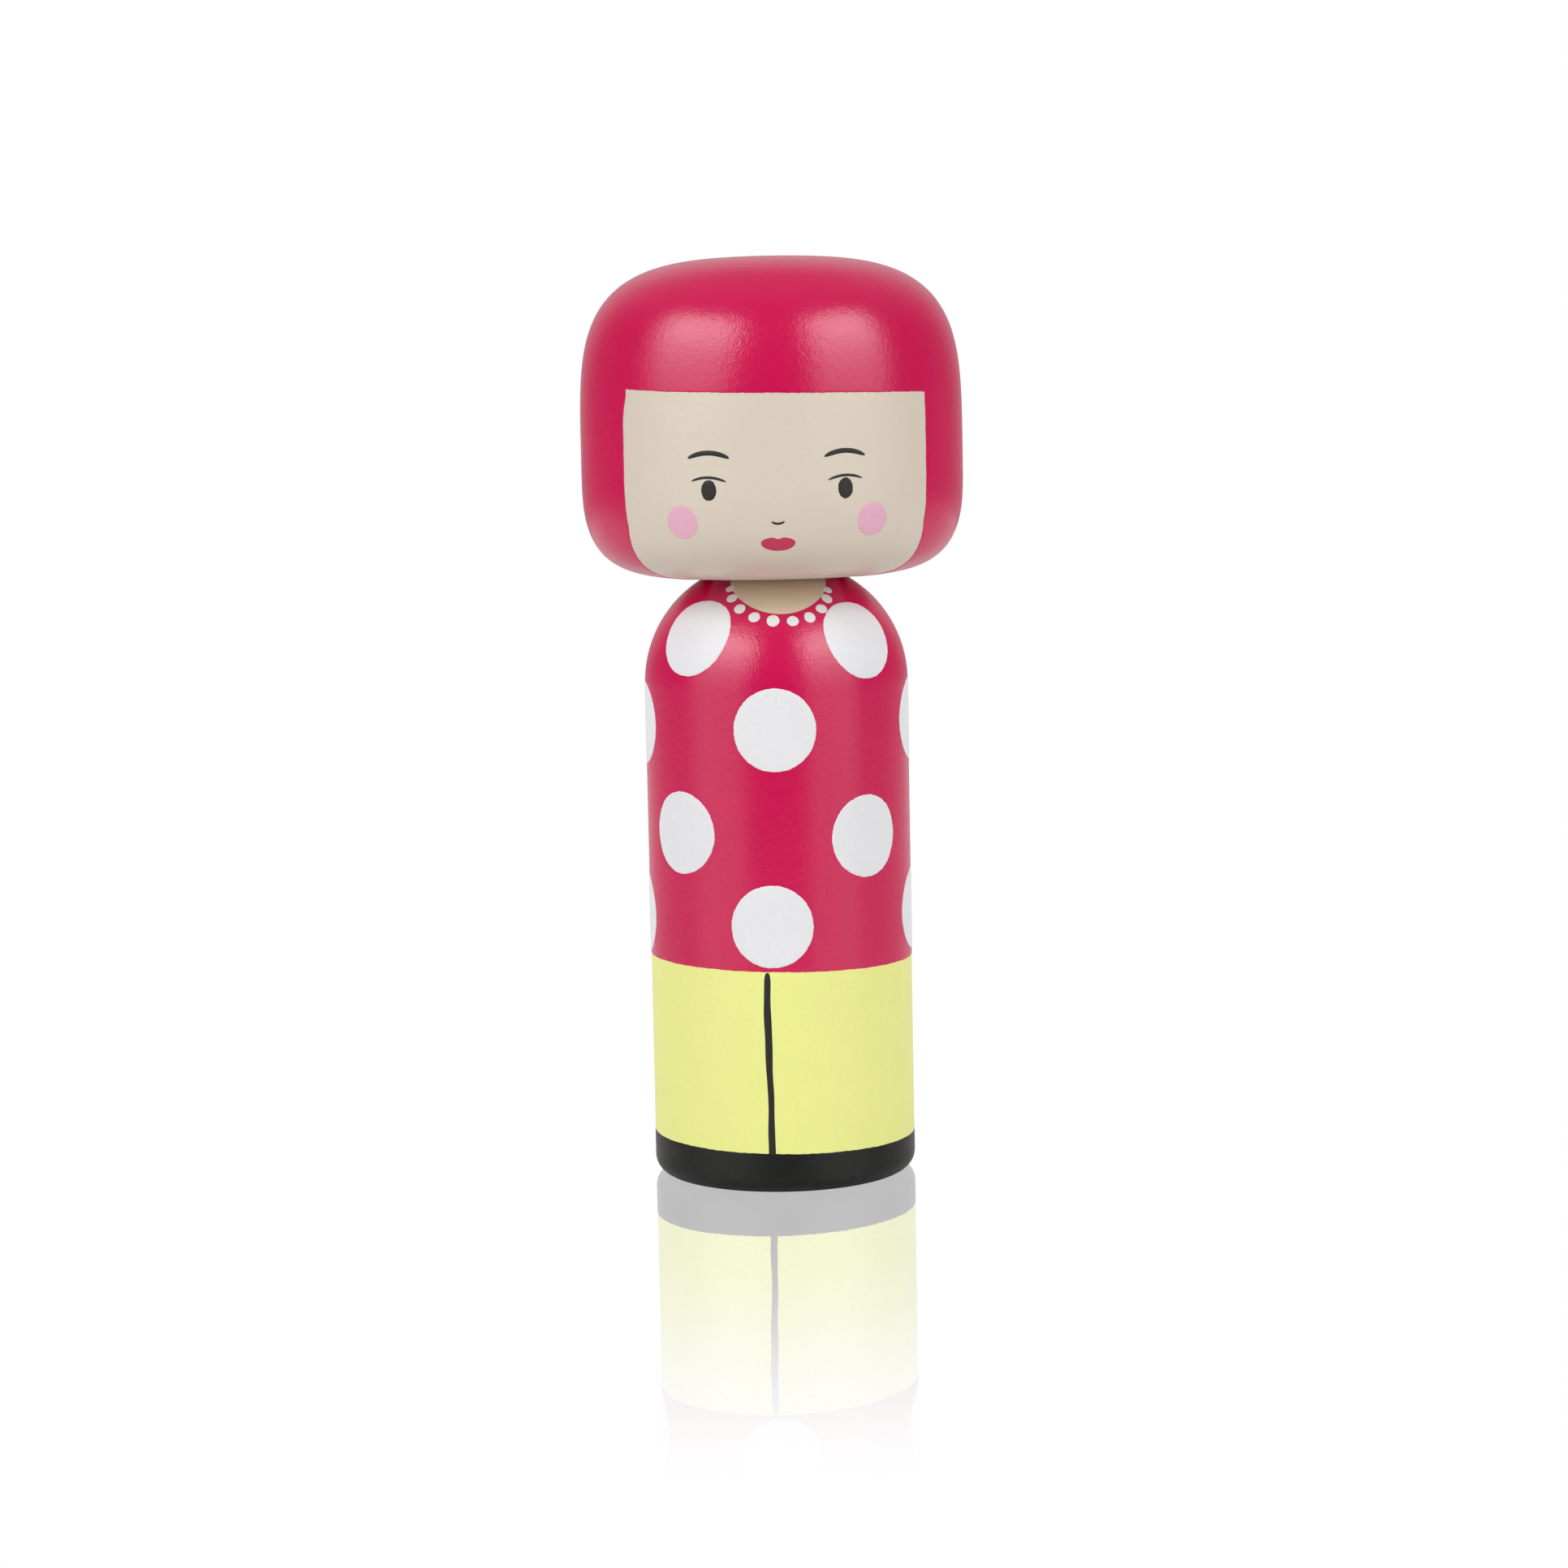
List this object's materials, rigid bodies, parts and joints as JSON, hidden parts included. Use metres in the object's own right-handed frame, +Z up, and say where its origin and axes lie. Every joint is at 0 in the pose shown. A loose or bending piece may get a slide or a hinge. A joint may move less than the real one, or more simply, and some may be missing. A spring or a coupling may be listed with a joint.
{
  "type": "kokeshi doll",
  "caption": "Turned wooden kokeshi doll: a rounded, painted head that swivels on a dowel set in a cylindrical painted body.",
  "frame": {"origin": "centre of the foot, on the surface that the doll stands on", "axes": "+Z up along the turning axis, -Y the way the doll faces, +X to the doll's left hand"},
  "size_m": [0.06, 0.06, 0.145],
  "materials": {
    "skin_paint": "painted, satin lacquer",
    "hair_paint": "painted, satin lacquer",
    "dress_paint": "painted, satin lacquer",
    "dot_paint": "painted, eggshell lacquer",
    "trouser_paint": "painted, eggshell lacquer",
    "shoe_paint": "painted, satin lacquer",
    "ink_paint": "painted lines, matte",
    "cheek_paint": "painted, eggshell lacquer",
    "lip_paint": "painted, satin lacquer",
    "bare_wood": "bare, sanded"
  },
  "bodies": {
    "torso": {"body": "dress_paint", "neck_dowel": "bare_wood"},
    "head": {"head": "hair_paint"}
  },
  "joints": [
    {"name": "head_turn", "type": "hinge", "parent": "torso", "child": "head", "pos_m": [0, 0, 0.0951], "axis": [0, 0, 1], "continuous": true}
  ]
}
